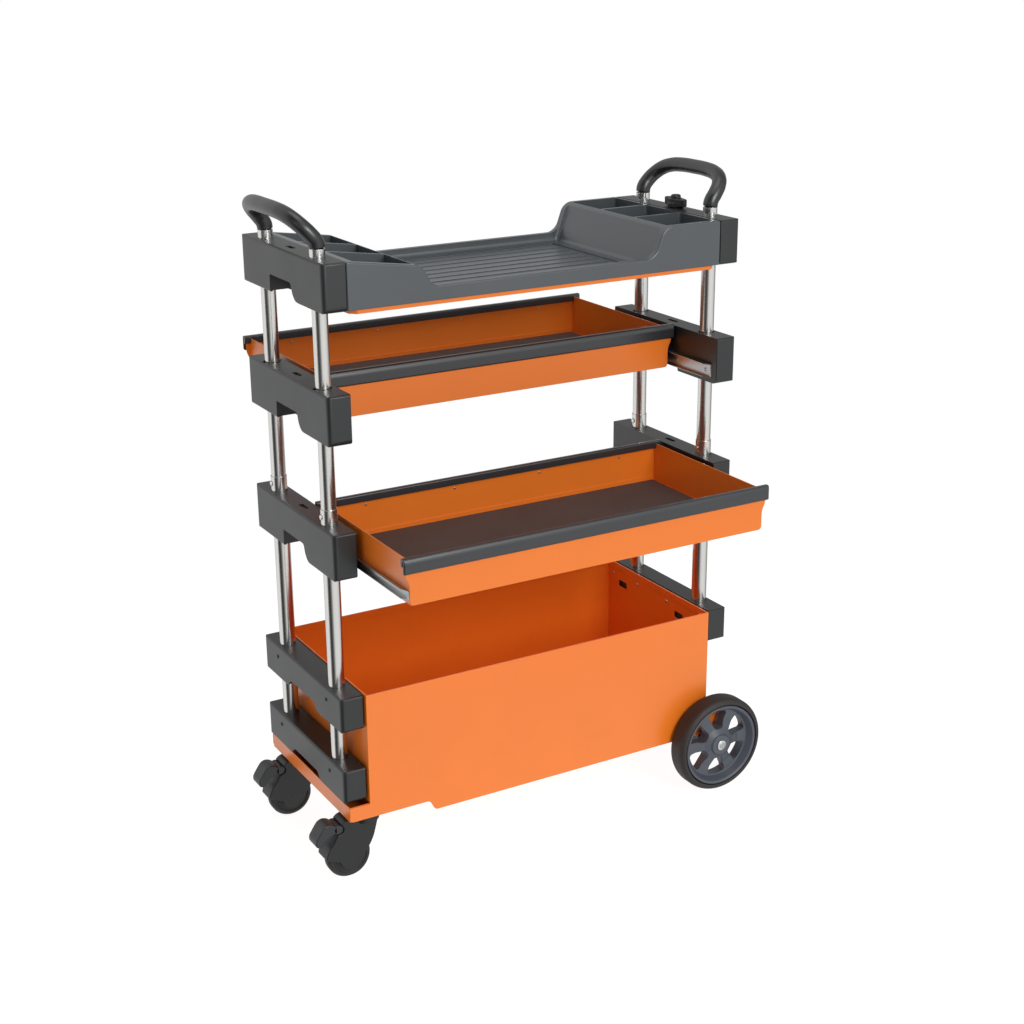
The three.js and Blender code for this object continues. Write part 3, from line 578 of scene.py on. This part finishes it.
def rounded_cutter(shape, top_z, radius, steps=4):
    """A cutter with every edge rounded except those of its top."""
    edges = [edge for edge in shape.edges if not all(end.co.z > top_z - 1e-6 for end in edge.verts)]
    bmesh.ops.bevel(shape, geom=edges, offset=radius, segments=steps, profile=0.5, affect="EDGES",
                    material=-1, clamp_overlap=True)
    return shape


above = tray_high.z + PASS
well = rounded_cutter(
    prism([(ramp_left[0], well_z), (ramp_right[0], well_z), (ramp_right[1], above), (ramp_left[1], above)],
          "y", tray_low.y + RIM_WIDTH, tray_high.y - RIM_WIDTH), above, 0.006)
sunk_floor = block(ramp_left[0] + 0.022, ramp_right[0] - 0.018, tray_low.y + 0.028, tray_high.y - 0.028,
                   well_z - 0.002, well_z + 0.01, corner=0.006)
tray_cutters = [well, sunk_floor]
SCOOP_WALL = 0.006
SCOOP_DEPTH = 0.034
POCKET_HALF = 0.0455
POCKET_PITCH = 0.0970
for row in (-1, 0, 1):
    pocket_y = tray_mid.y + row * POCKET_PITCH
    tray_cutters.append(rounded_cutter(
        block(ramp_right[1] + 0.007, tray_high.x - 0.008, pocket_y - POCKET_HALF, pocket_y + POCKET_HALF,
              well_z, above + 0.001), above + 0.001, 0.004))
    scoop = prism([(ramp_left[1] - SCOOP_WALL, above + 0.002), (tray_low.x + 0.010, above + 0.002),
                   (tray_low.x + 0.046, above - SCOOP_DEPTH),
                   (ramp_left[1] - SCOOP_WALL, above - SCOOP_DEPTH - 0.001)],
                  "y", pocket_y - POCKET_HALF, pocket_y + POCKET_HALF, {0.028: (2,), 0.004: (3,)}, 8)
    tray_cutters.append(scoop)
tray_shape = carved(tray_blank, tray_cutters)
placed(tray_shape, "tray_moulding", tray_plastic, "top", ["top_tray"])

FLOOR_RIBS = 9
rib_x0 = ramp_left[0] + 0.030
rib_x1 = ramp_right[0] - 0.026
RIBS_FROM_EDGE = 0.036
RIB_HALF = 0.0014
rib_step = (tray_high.y - tray_low.y - 2 * RIBS_FROM_EDGE) / (FLOOR_RIBS - 1)
rib_places = [tray_low.y + RIBS_FROM_EDGE + number * rib_step for number in range(FLOOR_RIBS)]
floor_ribs = [block(rib_x0, rib_x1, rib_y - RIB_HALF, rib_y + RIB_HALF, well_z - 0.0022, well_z - 0.0008,
                    corner=0.0012)
              for rib_y in rib_places]
placed(joined(floor_ribs), "tray_floor_ribs", tray_plastic, "top", edge=0.0003, segments=2)
softened("tray_pan", "tray_sheet_pan", orange_coat, "top", 0.0006)

# Handles: steel loops in a thick black grip, sprung from the tops of the posts.
GRIP_RADIUS = 0.012
grip_rubber = finish("black_grip", hue(24, 25, 26), 0.36, drift=0.06, grain=0.0007, depth=0.00004, coat=0.3)


def handle(side):
    """The grip as a round bar on a smooth line through the ends, the shoulders and the top."""
    low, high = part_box(f"handle_{side}")
    outward = 1 if side == "right" else -1
    post_x = post_at[f"front_{side}"].x
    mid_y = (post_at[f"front_{side}"].y + post_at[f"rear_{side}"].y) / 2
    half = post_at[f"rear_{side}"].y - mid_y
    rise = high.z - GRIP_RADIUS - low.z
    half_line = [(0, half, 0), (0.001, half, 0.15), (0.010, half - 0.001, 0.40), (0.020, half - 0.006, 0.62),
                 (0.029, half - 0.018, 0.82), (0.034, half - 0.036, 0.935), (0.0365, half - 0.058, 0.985),
                 (0.0375, 0, 1.0)]
    line = [(x, -y, z) for x, y, z in half_line] + half_line[-2::-1]
    curve = bpy.data.curves.new("grip_line", "CURVE")
    curve.dimensions = "3D"
    curve.bevel_depth = GRIP_RADIUS
    curve.bevel_resolution = 8
    curve.resolution_u = 10
    curve.use_fill_caps = True
    spline = curve.splines.new("BEZIER")
    spline.bezier_points.add(len(line) - 1)
    for point, (out, along, up) in zip(spline.bezier_points, line):
        point.co = (post_x + outward * out, mid_y + along, low.z + up * rise)
        point.handle_left_type = "AUTO"
        point.handle_right_type = "AUTO"
    bar = bpy.data.objects.new("grip_line", curve)
    scene.collection.objects.link(bar)
    mesh = bpy.data.meshes.new_from_object(bar.evaluated_get(bpy.context.evaluated_depsgraph_get()))
    bpy.data.objects.remove(bar)
    shape = bmesh.new()
    shape.from_mesh(mesh)
    bpy.data.meshes.remove(mesh)
    return shape


for side in SIDES:
    placed(handle(side), f"handle_grip_{side}", grip_rubber, "top", [f"handle_{side}"],
           edge=0.0012)

# Wing knob: a black moulded knob with two wings on the right top block, which clamps it down.
knob_black = finish("knob_plastic", hue(30, 31, 32), 0.40, drift=0.06)
WING_UNDER = 0.003
WING_TOP = 0.015
KNOB_BASE_RADIUS = 0.014
KNOB_BOSS_RADIUS = 0.0085
knob_low, knob_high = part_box("wing_knob")
knob_mid = (knob_low + knob_high) / 2
wing_reach = (knob_high.y - knob_low.y) / 2
wing_outline = [(knob_mid.x + 0.005, knob_mid.y - wing_reach), (knob_mid.x + 0.0085, knob_mid.y - 0.012),
                (knob_mid.x + 0.012, knob_mid.y), (knob_mid.x + 0.0085, knob_mid.y + 0.012),
                (knob_mid.x + 0.005, knob_mid.y + wing_reach), (knob_mid.x - 0.005, knob_mid.y + wing_reach),
                (knob_mid.x - 0.0085, knob_mid.y + 0.012), (knob_mid.x - 0.012, knob_mid.y),
                (knob_mid.x - 0.0085, knob_mid.y - 0.012), (knob_mid.x - 0.005, knob_mid.y - wing_reach)]
wings = prism(wing_outline, "z", knob_low.z + WING_UNDER, knob_low.z + WING_TOP,
              {0.0048: (0, 4, 5, 9), 0.004: (1, 2, 3, 6, 7, 8)})
knob_axis = (knob_mid.x, knob_mid.y, 0)
knob_base = rod(KNOB_BASE_RADIUS, knob_low.z, knob_low.z + 0.009, knob_axis, "z", rounded=0.002)
knob_boss = rod(KNOB_BOSS_RADIUS, knob_low.z + 0.006, knob_high.z, knob_axis, "z", rounded=0.003)
placed(joined([wings, knob_base, knob_boss]), "clamp_knob", knob_black, "wing_knob",
       ["wing_knob"], edge=0.0014)

# Drawers: orange folded trays. The floor and ends are one U-shaped sheet with short upturned flanges,
# and the front and rear panels are riveted on. A dark trim with rounded ends grips each long edge, and
# a rough rubber mat lies on the floor.
DRAWER_BEND = 0.0025
FLANGE_HEIGHT = 0.009
RIVET_RADIUS = 0.0024
WING_FOOT = 0.032
WING_FULL = 0.046
TRIM_DROP = 0.020
TRIM_REACH = 0.0052
TRIM_CLEAR = 0.02
TRIM_END_CORNER = 0.004
trim_plastic = finish("dark_trim_plastic", hue(38, 40, 43), 0.38, drift=0.05, grain=0.0009, depth=0.00005,
                      coat=0.5)
mat_rubber = finish("ribbed_mat_rubber", hue(82, 73, 70), 0.78, drift=0.12, grain=0.0016, depth=0.00035)


def end_panel(tray_low, tray_high, half_x, mid_x, y0, y1):
    """The front or rear sheet of a drawer, which widens over the slides."""
    low_x = half_x + 0.0005
    wing_x = (tray_high.x - tray_low.x) / 2
    bottom = tray_low.z
    right = [(low_x, bottom), (low_x, bottom + WING_FOOT), (wing_x, bottom + WING_FULL),
             (wing_x, tray_high.z)]
    outline = [(mid_x + x, z) for x, z in right] + [(mid_x - x, z) for x, z in reversed(right)]
    return prism(outline, "y", y0, y1, {0.006: (0, 7), 0.005: (1, 2, 5, 6)})


def trim_section(face, top, outward):
    """The trim's outline in (y, z): two sloping facets outside and a groove for the sheet."""
    points = [(0.0003, -TRIM_DROP), (0.004, -0.018), (0.005, -0.002), (0.002, 0.005), (-0.006, 0.005),
              (-0.007, 0.002), (-0.007, -0.008), (-0.0018, -0.008), (-0.0018, 0.0003), (0.0003, 0.0003)]
    return [(face + outward * y, top + z) for y, z in points]


RIVET_PLACES = (-0.242, -0.081, 0.081, 0.242)
for number in (1, 2):
    body = f"drawer_{number}"
    low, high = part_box(f"{body}_tray")
    mid = (low + high) / 2
    half_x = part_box(f"{body}_slide_right")[0].x - 0.0003 - mid.x
    x0 = mid.x - half_x
    x1 = mid.x + half_x
    channel = prism([(x0, high.z), (x0, low.z), (x1, low.z), (x1, high.z), (x1 - SHEET, high.z),
                     (x1 - SHEET, low.z + SHEET), (x0 + SHEET, low.z + SHEET), (x0 + SHEET, high.z)],
                    "y", low.y + SHEET, high.y - SHEET, {DRAWER_BEND: (1, 2), 0.0012: (5, 6)}, 5)
    sheets = [channel]
    for face, inward in ((low.y, 1), (high.y, -1)):
        sheets.append(end_panel(low, high, half_x, mid.x, min(face, face + inward * SHEET),
                                max(face, face + inward * SHEET)))
        flange_y = sorted((face + inward * SHEET, face + inward * (SHEET + 0.0012)))
        sheets.append(block(x0 + 0.004, x1 - 0.004, flange_y[0], flange_y[1], low.z + 0.001,
                            low.z + SHEET + FLANGE_HEIGHT))
    placed(joined(sheets), f"{body}_sheets", orange_coat, body, [f"{body}_tray"],
           edge=0.0004, segments=2)

    rivets = []
    for x in RIVET_PLACES:
        for face, inward in ((low.y, 1), (high.y, -1)):
            rivets.append(turned([(0, face + inward * SHEET), (RIVET_RADIUS, face + inward * SHEET),
                                  (RIVET_RADIUS * 0.8, face + inward * (SHEET + 0.0011)),
                                  (0, face + inward * (SHEET + 0.0014))],
                                 (mid.x + x, 0, high.z - 0.015), "y", steps=20, rounded=0.0003))
    placed(joined(rivets), f"{body}_rivets", zinc, body)

    mat_low, mat_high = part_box(f"{body}_mat")
    mat = block(mat_low.x + 0.002, mat_high.x - 0.002, mat_low.y + 0.001, mat_high.y - 0.001,
                mat_low.z, mat_high.z, corner=0.003)
    placed(mat, f"{body}_floor_mat", mat_rubber, body, [f"{body}_mat"], edge=0.0005,
           segments=2)

    for end, outward in zip(ENDS, (-1, 1)):
        trim_low, trim_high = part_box(f"{body}_trim_{end}")
        face = low.y if outward < 0 else high.y
        section = trim_section(face, high.z, outward)
        trim = prism(section, "x", trim_low.x, trim_high.x, {0.0025: (2, 3), 0.0018: (4,), 0.001: (1,)}, 4)
        back = face - outward * TRIM_CLEAR
        front = face + outward * TRIM_REACH
        trim_plan = prism([(trim_low.x, back), (trim_low.x, front), (trim_high.x, front),
                           (trim_high.x, back)], "z", trim_low.z - PASS, trim_high.z + PASS,
                          {TRIM_END_CORNER: (1, 2)}, 6)
        above_trim = trim_high.z + PASS
        trim_front = prism([(trim_low.x, above_trim), (trim_low.x, trim_low.z), (trim_high.x, trim_low.z),
                            (trim_high.x, above_trim)], "y", face - TRIM_CLEAR, face + TRIM_CLEAR,
                           {TRIM_END_CORNER: (1, 2)}, 6)
        trim = carved(trim, [trim_plan, trim_front], "INTERSECT")
        placed(trim, f"{body}_edge_trim_{end}", trim_plastic, body, [f"{body}_trim_{end}"],
               edge=0.0007, segments=2)

# Slides: rolled zinc-plated channels, one on each end of a drawer and a wider one screwed to the
# bracket that it runs in. Their lips are cut back on a slant at both ends.
RAIL_SHEET = 0.0014
LIP_SETBACK = 0.014


def channel_rail(node, web_on_high):
    """A C section along Y round a frame node, open towards the other rail."""
    low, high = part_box(node)
    web, lip = (high.x, low.x) if web_on_high else (low.x, high.x)
    inner = web + (RAIL_SHEET if lip > web else -RAIL_SHEET)
    outline = [(web, low.z), (web, high.z), (lip, high.z), (lip, high.z - RAIL_SHEET),
               (inner, high.z - RAIL_SHEET), (inner, low.z + RAIL_SHEET), (lip, low.z + RAIL_SHEET),
               (lip, low.z)]
    rail = prism(outline, "y", low.y, high.y, {0.002: (0, 1), 0.0006: (2, 3, 4, 5, 6, 7)}, 4)
    behind_web = web - (lip - web) * 0.1
    tapered = prism([(behind_web, low.y), (web, low.y), (lip, low.y + LIP_SETBACK),
                     (lip, high.y - LIP_SETBACK), (web, high.y), (behind_web, high.y)],
                    "z", low.z - PASS, high.z + PASS)
    return carved(rail, [tapered], "INTERSECT")


for number in (1, 2):
    for side in SIDES:
        slide = f"drawer_{number}_slide_{side}"
        placed(channel_rail(slide, side == "left"), f"drawer_{number}_runner_{side}", zinc,
               f"drawer_{number}", [slide])
        rail = f"shelf_{number}_rail_{side}"
        placed(channel_rail(rail, side == "right"), f"shelf_{number}_channel_{side}", zinc,
               f"shelf_{number}", [rail])
        low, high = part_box(rail)
        web = high.x - RAIL_SHEET if side == "right" else low.x + RAIL_SHEET
        inward = -1 if side == "right" else 1
        mid = (low + high) / 2
        screws = [domed_screw((web, mid.y + y, mid.z), "x", 0.0032, inward * 0.0012)
                  for y in (-0.125, -0.045, 0.045, 0.125)]
        placed(joined(screws), f"shelf_{number}_channel_screws_{side}", zinc, f"shelf_{number}")

# Big wheels: black rubber tyres on moulded blue-grey hubs with six windows, held by silver caps.
TYRE_BORE = 0.074
HUB_BORE = 0.0063
WINDOW_OUTER = 0.060
WINDOW_INNER = 0.028
WINDOW_HALF_SPAN = 0.335
tyre_rubber = finish("tyre_rubber", hue(40, 36, 34), 0.6, drift=0.08, grain=0.0014, depth=0.0001)
hub_plastic = finish("hub_plastic", hue(74, 79, 88), 0.42, drift=0.05, grain=0.0009, depth=0.00006)
silver = finish("silver_cap", hue(205, 207, 210), 0.25, metallic=1.0, drift=0.03, grain=0.003, depth=0.00003)


def arc(centre, radius, start, stop, count):
    """Points on an arc in a plane, from one angle to another."""
    return [(centre[0] + radius * cos(start + (stop - start) * step / count),
             centre[1] + radius * sin(start + (stop - start) * step / count)) for step in range(count + 1)]


for end, outward in zip(ENDS, (-1, 1)):
    low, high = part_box(f"wheel_tyre_{end}")
    mid = (low + high) / 2
    radius = (high.z - low.z) / 2
    inner_y = high.y if outward < 0 else low.y
    width = high.y - low.y

    def across(depth):
        """The place on Y of a depth measured from the wheel's inner face."""
        return inner_y + outward * depth

    tyre = turned([(TYRE_BORE, across(0)), (radius - 0.007, across(0)), (radius - 0.002, across(0.004)),
                   (radius, across(0.009)), (radius, across(width - 0.009)),
                   (radius - 0.002, across(width - 0.004)), (radius - 0.007, across(width)),
                   (TYRE_BORE + 0.001, across(width))], (mid.x, 0, mid.z), "y", steps=120, rounded=0.002)
    placed(tyre, f"tyre_{end}", tyre_rubber, f"wheel_{end}", [f"wheel_tyre_{end}"])

    face = width - 0.001
    rim = TYRE_BORE - 0.0006
    inner_profile = [(HUB_BORE, 0.001), (0.017, 0.001), (0.018, 0.008), (0.062, 0.008), (0.064, 0.001),
                     (rim, 0.001)]
    dished_face = [(rim, 0), (rim - 0.002, -0.0005), (rim - 0.005, 0.001), (0.0625, 0.013), (0.046, 0.0145),
                   (0.030, 0.010), (0.0195, 0.004), (0.0175, 0.0005), (HUB_BORE, 0.0005)]
    profile = [(place, across(depth)) for place, depth in inner_profile]
    profile += [(place, across(face - depth)) for place, depth in dished_face]
    hub = turned(profile, (mid.x, 0, mid.z), "y", steps=96, rounded=0.0012)
    windows = []
    for number in range(6):
        angle = number * pi / 3 + pi / 2
        outline = arc((mid.x, mid.z), WINDOW_OUTER, angle - WINDOW_HALF_SPAN, angle + WINDOW_HALF_SPAN, 6)
        inner_span = WINDOW_HALF_SPAN * 0.72
        outline += arc((mid.x, mid.z), WINDOW_INNER, angle + inner_span, angle - inner_span, 4)
        windows.append(prism(outline, "y", low.y - PASS, high.y + PASS, {0.006: (0, 6), 0.004: (7, 11)}, 5))
    placed(carved(hub, windows), f"hub_{end}", hub_plastic, f"wheel_{end}",
           [f"wheel_hub_{end}"], edge=0.0009, segments=3)
    cap = turned([(0, across(face - 0.001)), (0.0095, across(face - 0.001)), (0.0095, across(face + 0.0012)),
                  (0.006, across(face + 0.0026)), (0, across(face + 0.003))], (mid.x, 0, mid.z), "y",
                 steps=48, rounded=0.001)
    placed(cap, f"hub_cap_{end}", silver, f"wheel_{end}")

# Casters: black moulded forks that swivel on the plates, small wheels and a pedal that brakes each.
caster_black = finish("caster_plastic", hue(20, 21, 23), 0.42, drift=0.06, grain=0.0009, depth=0.00006)
caster_tread = finish("caster_tread", hue(26, 27, 28), 0.55, drift=0.08)
pedal_grey = finish("pedal_plastic", hue(40, 42, 44), 0.42, drift=0.05)
HOOD_RADIUS = 0.044
WHEEL_POCKET_RADIUS = 0.040
FORK_ARM_RADIUS = 0.020
FORK_COLLAR_RADIUS = 0.024
CASTER_AXLE_RADIUS = 0.0045
PEDAL_BOSS_RADIUS = 0.0076
for end in ENDS:
    fork_low, fork_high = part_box(f"caster_fork_{end}")
    wheel_low, wheel_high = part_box(f"caster_wheel_{end}")
    wheel_mid = (wheel_low + wheel_high) / 2
    wheel_r = (wheel_high.z - wheel_low.z) / 2
    plate_low, plate_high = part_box(f"caster_plate_{end}")
    swivel = (plate_low + plate_high) / 2
    pedal_low, pedal_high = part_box(f"brake_pedal_{end}")
    hub_at = (wheel_mid.x, wheel_mid.z)
    pivot = Vector((wheel_mid.x - 0.019, wheel_mid.y, wheel_mid.z + 0.0545))

    top = fork_high.z
    outline = [(swivel.x + 0.020, top), (wheel_mid.x + 0.008, top), (wheel_mid.x - 0.015, top - 0.0066),
               (wheel_mid.x - 0.020, top - 0.0236)]
    outline += arc(hub_at, HOOD_RADIUS, 2.3, 3.0, 5)
    outline += arc(hub_at, FORK_ARM_RADIUS, 3.3, 5.6, 16)
    outline.append((wheel_mid.x + 0.040, wheel_mid.z + 0.0245))
    cheeks = prism(outline, "y", fork_low.y + 0.007, fork_high.y - 0.007,
                   {0.008: (2,), 0.004: (1, 3), 0.010: (27,)})
    slot_half = (wheel_high.y - wheel_low.y) / 2 + 0.001
    slot_y0 = wheel_mid.y - slot_half
    slot_y1 = wheel_mid.y + slot_half
    wheel_axis = (wheel_mid.x, 0, wheel_mid.z)
    cutters = [rod(WHEEL_POCKET_RADIUS, slot_y0, slot_y1, wheel_axis, "y", steps=56),
               block(wheel_mid.x - 0.05, wheel_mid.x + 0.05, slot_y0, slot_y1, -PASS, wheel_mid.z),
               rod(PEDAL_BOSS_RADIUS + 0.0006, fork_low.y - PASS, fork_high.y + PASS,
                   (pivot.x, 0, pivot.z), "y", steps=32),
               block(pedal_low.x - 0.01, pivot.x + 0.004, fork_low.y - PASS, fork_high.y + PASS,
                     pivot.z - 0.002, top + PASS)]
    fork = carved(cheeks, cutters)
    collar = rod(FORK_COLLAR_RADIUS, top - 0.0156, top, (swivel.x, swivel.y, 0), "z", rounded=0.002)
    stub = rod(CASTER_AXLE_RADIUS, wheel_mid.y - 0.0172, wheel_mid.y + 0.0172, wheel_axis, "y", steps=32,
               rounded=0.0006)
    placed(joined([fork, collar, stub]), f"caster_hood_{end}", caster_black, f"caster_{end}",
           [f"caster_fork_{end}"], edge=0.0016, segments=3)

    half_w = (wheel_high.y - wheel_low.y) / 2
    y0 = wheel_mid.y - half_w
    y1 = wheel_mid.y + half_w
    half_section = [(0.0048, 0), (0.024, 0), (0.025, 0.0014), (0.028, 0.0014), (0.029, 0),
                    (wheel_r - 0.004, 0), (wheel_r, 0.006)]
    section = [(place, y0 + depth) for place, depth in half_section]
    section += [(place, y1 - depth) for place, depth in reversed(half_section)]
    wheel = turned(section, wheel_axis, "y", steps=72, rounded=0.0006)
    placed(wheel, f"caster_roller_{end}", caster_tread, f"caster_wheel_{end}",
           [f"caster_wheel_{end}"])

    px = pivot.x
    pz = pivot.z
    paddle_outline = [(px - 0.002, pz + 0.006), (px - 0.012, pz + 0.013), (px - 0.024, pz + 0.012),
                      (px - 0.032, pz + 0.001), (pedal_low.x, pz - 0.012), (pedal_low.x + 0.001, pz - 0.022),
                      (px - 0.031, pz - 0.024), (px - 0.018, pz - 0.008), (px - 0.002, pz - 0.005)]
    paddle = prism(paddle_outline, "y", pedal_low.y, pedal_high.y,
                   {0.006: (1, 2, 3), 0.004: (4, 5, 6), 0.008: (7,)})
    boss = rod(PEDAL_BOSS_RADIUS, pedal_low.y, pedal_high.y, (px, 0, pz), "y", steps=40, rounded=0.0008)
    placed(joined([paddle, boss]), f"brake_paddle_{end}", pedal_grey, f"brake_pedal_{end}",
           [f"brake_pedal_{end}"], edge=0.0018, segments=3)
